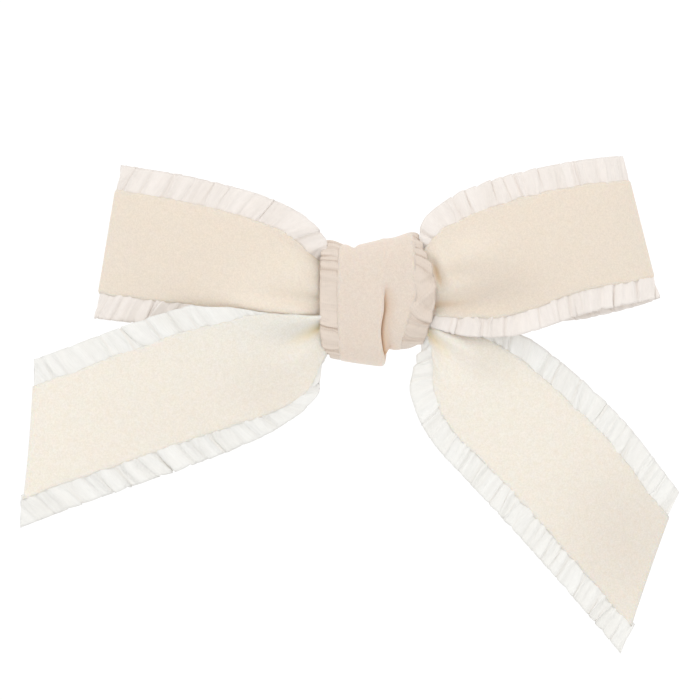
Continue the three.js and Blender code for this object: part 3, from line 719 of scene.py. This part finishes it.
# Per frill: random seed, mean pitch, spread of the pitch, slant of the pleats.
FRILLS = {
    ("left_loop", "upper"): (11, 2.0, 0.50, 0.50),
    ("left_loop", "lower"): (12, 1.8, 0.45, -0.50),
    ("right_loop", "upper"): (13, 2.0, 0.50, 0.10),
    ("right_loop", "lower"): (14, 1.8, 0.50, 0.20),
    ("left_tail", "upper"): (15, 2.6, 0.55, -0.40),
    ("left_tail", "lower"): (16, 2.6, 0.50, 0.60),
    ("right_tail", "upper"): (17, 2.0, 0.45, 0.35),
    ("right_tail", "lower"): (18, 2.0, 0.35, -0.30),
}
for key, plan in RIBBONS.items():
    ribbon = Ribbon(key, plan)
    cloth = loop_velvet if ribbon.is_loop else tail_velvet
    velvet = ribbon.add_velvet(cloth, LOOP_ROWS if ribbon.is_loop else TAIL_ROWS)
    for side in ("upper", "lower"):
        seed, pitch, spread, slant = FRILLS[key, side]
        pleats = Pleats(seed, ribbon.distances[-1], pitch, spread, RUFFLE_RARITY)
        sheer = loop_sheer if ribbon.is_loop else tail_sheer
        ribbon.add_frill(side, sheer, pleats, slant)


# ---- knot ----
def smoothed(pairs, place, blur):
    """Straight steps between (place, value) pairs, rounded off over about the blur either side."""
    places, values = np.array(pairs, float).T
    near = [np.interp(place + k * blur, places, values) for k in (-1, -0.5, 0, 0.5, 1)]
    return sum(near) / len(near)


def between_degrees(limits, angle):
    return smoothstep(math.radians(limits[0]), math.radians(limits[1]), angle)


def around_knot(edge, angle):
    """Where one edge of the wrap is, at an angle round it from the middle of the front."""
    degrees = (np.degrees(angle) + 180) % 360 - 180
    turned = [(a - 360, x) for a, x in edge[:-1]] + edge + [(a + 360, x) for a, x in edge[1:]]
    return smoothed(turned, degrees, 8)


def knot_point(x, angle, out):
    """A point of the wrap's middle surface, out by so much from it."""
    top = smoothed(KNOT_TOP, x, 0.35)
    bottom = smoothed(KNOT_BOTTOM, x, 0.2)
    deep, high = rounded_square(angle, 2 / KNOT_SQUARENESS)
    y = KNOT_CENTRE_Y - (KNOT_HALF_DEPTH + out) * deep
    z = (top + bottom) / 2 + ((top - bottom) / 2 + out) * high
    return np.stack([x, y, z], 2) + GRIP


KNOT_ROWS = 260
TUCK_LEFT, TUCK_RIGHT = -6.9, 6.0
TUCK_DEPTH = 1.2
TUCK_DRIFT = 1.9
# Degrees round the knot, up from the middle of the front, over which each change comes about.
TUCK_OPENS, TUCK_CLOSES, TUCK_TURNS = (13, -8), (-150, -110), (-12, -75)
# The tuck's section, from the left edge of the velvet to the right one: x, x where the wrap is flat,
# and the height above the wrap.
TUCK = rail(np.array([
    (TUCK_LEFT, TUCK_LEFT, 0.0), (-4.6, -4.6, 0.30), (-2.4, -2.4, 0.50), (-0.6, -0.8, 0.60),
    (0.20, -0.1, 0.48), (0.50, 0.3, 0.10), (0.42, 0.55, -0.45), (0.30, 0.75, -0.90),
    (0.50, 0.95, -1.20), (0.95, 1.2, -0.85), (1.7, 1.8, -0.40), (3.5, 3.4, -0.10),
    (TUCK_RIGHT, TUCK_RIGHT, 0.0)]) - GRIP)


def knot_velvet_points(columns=110):
    """The wrap's velvet as a grid of points, with their angles, x and how much painted shade the tuck's
    hollow gives them.
    """
    angle, v = grid(np.linspace(0, 2 * math.pi, KNOT_ROWS, endpoint=False), np.linspace(0, 1, columns))
    left = around_knot(SEAM_LEFT, angle)
    right = around_knot(SEAM_RIGHT, angle)
    tuck = TUCK(v)
    # The tuck opens just above the middle of the front and closes again under the bottom.
    turn = np.where(angle > math.pi, angle - 2 * math.pi, angle)
    amount = between_degrees(TUCK_OPENS, turn) * between_degrees(TUCK_CLOSES, turn)
    across = tuck[..., 1] + (tuck[..., 0] - tuck[..., 1]) * amount
    # Towards the bottom the tuck runs a little to the right.
    inside = np.sin(math.pi * np.clip((across - TUCK_LEFT) / (TUCK_RIGHT - TUCK_LEFT), 0, 1))
    across = across + TUCK_DRIFT * inside * between_degrees(TUCK_TURNS, turn)
    across = (across - TUCK_LEFT) / (TUCK_RIGHT - TUCK_LEFT)
    x = left + (right - left) * across
    height = tuck[..., 2] * amount + KNOT_CROWN * np.sin(v * math.pi)
    # Painted shade: the deeper into the tuck, the more of the dark colour.
    fold_shade = np.clip(-tuck[..., 2] / TUCK_DEPTH, 0, 1) * amount
    return knot_point(x, angle, height), angle, x, fold_shade


points, angle, x, fold_shade = knot_velvet_points()
uv = np.stack([angle * KNOT_MEAN_RADIUS, x], 2)
knot_band = add_cloth("knot_velvet_band", points, VELVET_THICKNESS, uv, wraps=True,
                      attributes={"fold_shade": fold_shade})
finish_piece(knot_band, "knot_wrap_velvet", knot_velvet)


KNOT_PLEAT_SPREAD, KNOT_PLEAT_RARITY = 0.4, 0.7
KNOT_SCALLOP = 0.25
KNOT_LIFT_AT_SEAM = 0.3
KNOT_SEAM_DEPTH = SEAM_DEPTH * 0.6
KNOT_BACK_LEAN = 1.8
KNOT_JOIN = (0.1, 0.6)        # radians either side of the back, over which the pleats fade out
# Folds across the right frill, in the same terms as those in RIBBONS.
KNOT_FRILL_FOLDS = [
    ((10.2, 1.9), (4.6, -3.4), 0.45, 0.40, 0.75), ((10.2, 0.6), (6.0, -4.6), 0.40, 0.50, -0.5),
    ((9.6, 3.4), (6.4, 1.4), 0.40, 0.40, -0.4), ((9.2, -5.0), (4.2, -5.6), 0.35, 0.35, 0.5)]


def add_knot_frill(side, seed, pitch, height, slant, lean, columns=13, rows=1000):
    """One of the wrap's frills, which leans back by so much at its free edge."""
    angle, reach = grid(np.linspace(0, 2 * math.pi, rows, endpoint=False), np.linspace(0, 1, columns))
    left = side == "left"
    edge = around_knot(KNOT_LEFT if left else KNOT_RIGHT, angle + math.pi)
    seam = around_knot(SEAM_LEFT if left else SEAM_RIGHT, angle + math.pi)
    width = np.abs(edge - seam)
    pleats = Pleats(seed, KNOT_GIRTH, pitch, KNOT_PLEAT_SPREAD, KNOT_PLEAT_RARITY)
    out = reach * (width + SEAM_OVERLAP)
    pattern = angle / (2 * math.pi) * KNOT_GIRTH + slant * out
    shift, lift, phase, size, _ = pleats.at(pattern, reach)
    inset = (width + SEAM_OVERLAP) * (1 - reach) - scallop(phase, size, KNOT_SCALLOP, reach)
    x = edge + inset if left else edge - inset
    # The pleats fade out where the frill's start meets its end, at the back.
    at_back = np.minimum(angle, 2 * math.pi - angle)
    blend = smoothstep(*KNOT_JOIN, at_back)
    turned = angle + math.pi + shift * blend * smoothstep(0, 0.5, reach) / KNOT_GIRTH * 2 * math.pi
    # Behind the bow the frill leans in further, clear of the loops.
    lean = lean + KNOT_BACK_LEAN * smoothstep(0.0, -0.5, np.cos(angle + math.pi))
    raised = KNOT_LIFT_AT_SEAM + (1 - KNOT_LIFT_AT_SEAM) * reach
    rise = height * lift * blend * raised - KNOT_SEAM_DEPTH - lean * reach**2
    points = knot_point(x, turned, rise)
    if not left:
        folds, _ = fold_height(KNOT_FRILL_FOLDS, points[..., 0] - GRIP[0], points[..., 2] - GRIP[2])
        points[..., 1] -= folds
    uv = np.stack([pattern, out], 2)
    piece = add_cloth(f"knot_{side}_ruffle", points, FRILL_THICKNESS, uv, wraps=True, edge=0.05,
                      attributes={"crease": crease_of(phase, size) * blend})
    return finish_piece(piece, f"knot_wrap_{side}_frill", knot_sheer)


knot_frills = [
    add_knot_frill("left", seed=21, pitch=1.5, height=0.5, slant=0.0, lean=0.6),
    add_knot_frill("right", seed=22, pitch=2.2, height=0.60, slant=0.55, lean=0.7)]


# ---- pieces behind the bow ----
def box_of(node):
    """The middle of the node's box and its half sizes, in millimetres."""
    low, high = (np.array(corner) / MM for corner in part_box(node))
    return (low + high) / 2, (high - low) / 2


def along_path(path):
    """Two unit vectors across an open path at each of its points, carried along without twisting."""
    tangent = np.gradient(path, axis=0)
    tangent /= np.linalg.norm(tangent, axis=1, keepdims=True)
    side = np.cross(tangent[0], (0.31, 0.87, 0.38))
    sides = []
    for direction in tangent:
        side = side - direction * (side @ direction)
        side /= np.linalg.norm(side)
        sides.append(side)
    sides = np.array(sides)
    return sides, np.cross(tangent, sides)


def tube_mesh(paths, radius, sides):
    """Vertices, faces and uv of round closed tubes along open paths."""
    vertices, faces, uvs, first = [], [], [], 0
    turn = np.linspace(0, 2 * math.pi, sides, endpoint=False)
    for path in paths:
        across, up = along_path(path)
        taper = np.full(len(path), radius)
        taper[[0, -1]] = radius * 0.6
        ring = (path[:, None] + taper[:, None, None] * (across[:, None] * np.cos(turn)[:, None]
                                                        + up[:, None] * np.sin(turn)[:, None]))
        number = first + np.arange(len(path) * sides).reshape(len(path), sides)
        after = np.roll(number, -1, axis=1)
        faces += np.stack([number[:-1], after[:-1], after[1:], number[1:]], 2).reshape(-1, 4).tolist()
        faces += [number[0, ::-1].tolist(), number[-1].tolist()]
        vertices.append(ring.reshape(-1, 3))
        uvs.append(np.stack([np.repeat(lengths_along(path), sides), np.tile(turn * radius, len(path))], 1))
        first += number.size
    return np.concatenate(vertices), faces, np.concatenate(uvs)


def add_thread():
    """Four tight turns of two-ply thread side by side round the waist."""
    centre, half = box_of("gathering_thread")
    turns, ply, offset, lay, points_in_turn = 4, 0.19, 0.165, 1.5, 170
    pitch = (2 * half[0] - 2 * (ply + offset)) / turns
    t = np.linspace(0, turns, turns * points_in_turn)
    deep, high = rounded_square(t * 2 * math.pi, 0.55)
    within = half - 0.3
    path = np.stack([-half[0] + ply + offset + pitch * t, -within[1] * deep, within[2] * high], 1) + centre
    across, up = along_path(path)
    steps = lengths_along(path)
    strands = []
    for start in (0, math.pi):
        twist = (steps / lay * 2 * math.pi + start)[:, None]
        strands.append(path + offset * (across * np.cos(twist) + up * np.sin(twist)))
    piece = add_mesh("gathering_thread_turns", *tube_mesh(strands, ply, 6))
    return finish_piece(piece, "gathering_thread", thread_cloth)


def add_pad(name, node, corner, rim, uneven, lumps, seed, rings=16, around=220):
    """A flat-faced pad with a rounded rim, an uneven outline and slightly lumpy faces."""
    centre, half = box_of(node)
    angle = np.linspace(0, 2 * math.pi, around, endpoint=False)
    straight = np.array([half[0] - corner, half[2] - corner])
    # Points spread evenly round a rounded rectangle.
    dense = np.linspace(0, 2 * math.pi, 4001)
    corners = np.stack([np.cos(dense), np.sin(dense)], 1)
    square = corners * corner + np.sign(corners) * straight
    steps = lengths_along(square)
    place = np.interp(np.linspace(0, steps[-1], around, endpoint=False), steps, np.arange(len(dense)))
    outline = np.stack([np.interp(place, np.arange(len(dense)), square[:, k]) for k in (0, 1)], 1)
    random = np.random.default_rng(seed)
    ragged = sum(random.uniform(0.3, 1) / (1 + 0.12 * n) * np.sin(n * angle + random.uniform(0, 6.28))
                 for n in range(3, 34))
    ragged *= uneven / np.abs(ragged).max()
    outline *= (1 - (uneven + ragged) / np.linalg.norm(outline, axis=1))[:, None]
    reach = 1 - (1 - np.linspace(1, 0, rings)) ** 1.8
    reach[-1] = 0.02
    rows = []
    for side in (-1, 1):
        for r in (reach if side < 0 else reach[::-1]):
            flat = outline * r
            inset = (1 - r) * min(half[0], half[2])
            f = min(inset / rim, 1)
            thick = half[1] * (0.12 + 0.88 * math.sqrt(1 - (1 - f) ** 2))
            bumpy = lumps * (np.sin(flat[:, 0] * 0.9 + seed) * np.sin(flat[:, 1] * 1.3 + side)
                             + 0.5 * np.sin(flat[:, 0] * 2.3 - flat[:, 1] * 1.7 + 2 * side))
            rows.append(np.stack([flat[:, 0], side * (thick - np.abs(bumpy) * f), flat[:, 1]], 1))
    rows = np.array(rows[:rings][::-1] + rows[rings:][::-1]) + centre
    number = np.arange(rows.shape[0] * around).reshape(rows.shape[0], around)
    after = np.roll(number, -1, axis=1)
    faces = np.stack([number[:-1], number[1:], after[1:], after[:-1]], 2).reshape(-1, 4).tolist()
    faces += [number[0].tolist(), number[-1, ::-1].tolist()]
    flat_uv = rows.reshape(-1, 3)[:, [0, 2]]
    return add_mesh(name, rows.reshape(-1, 3), faces, flat_uv)


def add_lining():
    """Grosgrain ribbon on the clip's front arm: ribs across it, each standing out a little at its ends."""
    centre, half = box_of("clip_lining_ribbon")
    rib, rows, columns, corner_radius = 0.55, 640, 13, 0.6
    x, v = grid(np.linspace(-half[0], half[0], rows), np.linspace(-1, 1, columns))
    ridge = np.abs(np.sin(math.pi * x / rib))
    corner = np.clip(half[0] - np.abs(x), 0, corner_radius)
    end = corner_radius - np.sqrt(np.maximum(corner_radius**2 - (corner_radius - corner) ** 2, 0))
    z = v * (half[2] - 0.1 - end + 0.1 * ridge * np.abs(v) ** 8)
    points = np.stack([x, np.zeros_like(x), z], 2) + centre
    thickness = 2 * half[1] * (0.62 + 0.34 * ridge)
    uv = np.stack([x, z], 2)
    piece = add_cloth("clip_lining_grosgrain", points, thickness, uv, edge=0.12)
    return finish_piece(piece, "clip_lining_ribbon", grosgrain)


def add_pressed(name, node, material, body):
    """The CAD node's shape with its edges rounded, as a press leaves them."""
    rounding, weld, flat, sharp_from, smooth_to = 0.13, 0.002, 1.5, 28, 40
    mesh = frame["nodes"][node].data.copy()
    mesh.name = name
    shape = bmesh.new()
    shape.from_mesh(mesh)
    bmesh.ops.remove_doubles(shape, verts=shape.verts, dist=weld * MM)
    bmesh.ops.dissolve_limit(shape, angle_limit=math.radians(flat), verts=shape.verts,
                             edges=shape.edges)
    sharp = [edge for edge in shape.edges
             if len(edge.link_faces) == 2 and edge.calc_face_angle(0) > math.radians(sharp_from)]
    bmesh.ops.bevel(shape, geom=sharp, offset=rounding * MM, offset_type="OFFSET", segments=3,
                    profile=0.5, affect="EDGES", clamp_overlap=True)
    bmesh.ops.triangulate(shape, faces=[face for face in shape.faces if len(face.verts) > 4])
    shape.to_mesh(mesh)
    shape.free()
    mesh.materials.clear()
    mesh.polygons.foreach_set("use_smooth", [True] * len(mesh.polygons))
    mesh.set_sharp_from_angle(angle=math.radians(smooth_to))
    return finish_piece(add_object(name, mesh), node, material, body)


def add_spring():
    """Torsion spring: a leg on each arm and a coil round the pin; it is built in one pose and does not wind
    up as the jaw opens.
    """
    pin, _ = box_of("clip_hinge_pin")
    radius, wire, turns, half_width, leg = 2.15, 0.38, 2.5, 1.5, 6.0
    t = np.linspace(0, turns, 260)
    coil = np.stack([pin[0] + radius * np.sin(2 * math.pi * t), pin[1] - radius * np.cos(2 * math.pi * t),
                     pin[2] + half_width * (2 * t / turns - 1)], 1)
    run = np.linspace(leg, 0.1, 24)[:, None] * np.array([1.0, 0, 0])
    path = np.concatenate([coil[0] + run, coil, coil[-1] + run[::-1]])
    piece = add_mesh("clip_torsion_spring", *tube_mesh([path], wire, 16))
    piece.data.materials.append(spring_wire)
    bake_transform(piece)
    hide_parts("clip_spring")


add_thread()
pad = add_pad("felt_pad", "felt_backing_pad", corner=4.5, rim=0.45, uneven=0.12, lumps=0.03, seed=31)
finish_piece(pad, "felt_backing_pad", felt)
bead = add_pad("glue_bead", "glue_pad", corner=2.0, rim=0.5, uneven=0.35, lumps=0.05, seed=32)
finish_piece(bead, "glue_pad", glue)
add_lining()
add_pressed("clip_front_plate", "clip_front_arm", plated_steel, "bow")
add_pressed("clip_rear_lever", "clip_rear_arm", plated_steel, "rear_arm")
add_pressed("clip_rivet_pin", "clip_hinge_pin", plated_steel, "bow")
add_spring()

# ---- stage ----
PICTURE_WIDTH = 117.4          # what the picture spans at the bow's front
PICTURE_CENTRE = (-4.70, -9.06)
BOW_FRONT_Y = -13.0
LENS = 200.0
SENSOR = 36.0
FLOOR_DROP = 250.0
FLOOR_RADIUS = 2.0             # in metres
FLOOR_CORNERS = 96


def add_camera():
    data = bpy.data.cameras.new("camera")
    data.lens = LENS
    data.sensor_width = SENSOR
    data.clip_start = 0.01
    camera = add_object("camera", data)
    away = LENS * PICTURE_WIDTH / SENSOR
    camera.location = (Vector((PICTURE_CENTRE[0], BOW_FRONT_Y - away, PICTURE_CENTRE[1]))
                       + Vector(GRIP)) * MM
    camera.rotation_euler = (math.pi / 2, 0, 0)
    bpy.context.scene.camera = camera


def add_floor():
    turns = [2 * math.pi * k / FLOOR_CORNERS for k in range(FLOOR_CORNERS)]
    ring = [(FLOOR_RADIUS * math.cos(turn), FLOOR_RADIUS * math.sin(turn), 0) for turn in turns]
    mesh = bpy.data.meshes.new("floor")
    mesh.from_pydata(ring, [], [list(range(FLOOR_CORNERS))])
    floor = add_object("floor", mesh)
    floor.location = (0, 0, -FLOOR_DROP * MM)
    look = Look(bpy.data.materials.new("pale_floor"))
    grain = look.noise(look.place(), 30, 2)
    mesh.materials.append(look.shaded({
        "Base Color": look.ramp(grain, 0.3, 0.7, grey(0.88), grey(0.9)), "Roughness": 0.9}))


def add_area(name, place, size, watts):
    """A square lamp aimed at the frame's origin."""
    data = bpy.data.lights.new(name, "AREA")
    data.size = size
    data.energy = watts
    lamp = add_object(name, data)
    lamp.location = place
    lamp.rotation_euler = (-Vector(place)).to_track_quat("-Z", "Y").to_euler()


def add_world():
    """A soft white room, brightest behind the bow."""
    look = Look(bpy.data.worlds.new("soft_room"), "Background")
    direction = look.add("SeparateXYZ", {"Vector": look.place("Generated")}).outputs
    behind = look.map_range(direction["Y"], (-0.1, 0.9), (0.85, 1.06), interpolation_type="SMOOTHSTEP")
    above = look.map_range(direction["Z"], (-1.0, 1.0), (0.86, 1.14))
    bpy.context.scene.world = look.shaded({
        "Color": (1, 1, 1, 1), "Strength": look.maths("MULTIPLY", behind, above)})


add_camera()
add_floor()
add_world()
add_area("key", (-0.35, -0.7, 0.8), size=0.5, watts=1.7)
add_area("fill", (0.5, -0.9, -0.1), size=0.7, watts=0.8)
bpy.context.scene.view_settings.view_transform = "Standard"
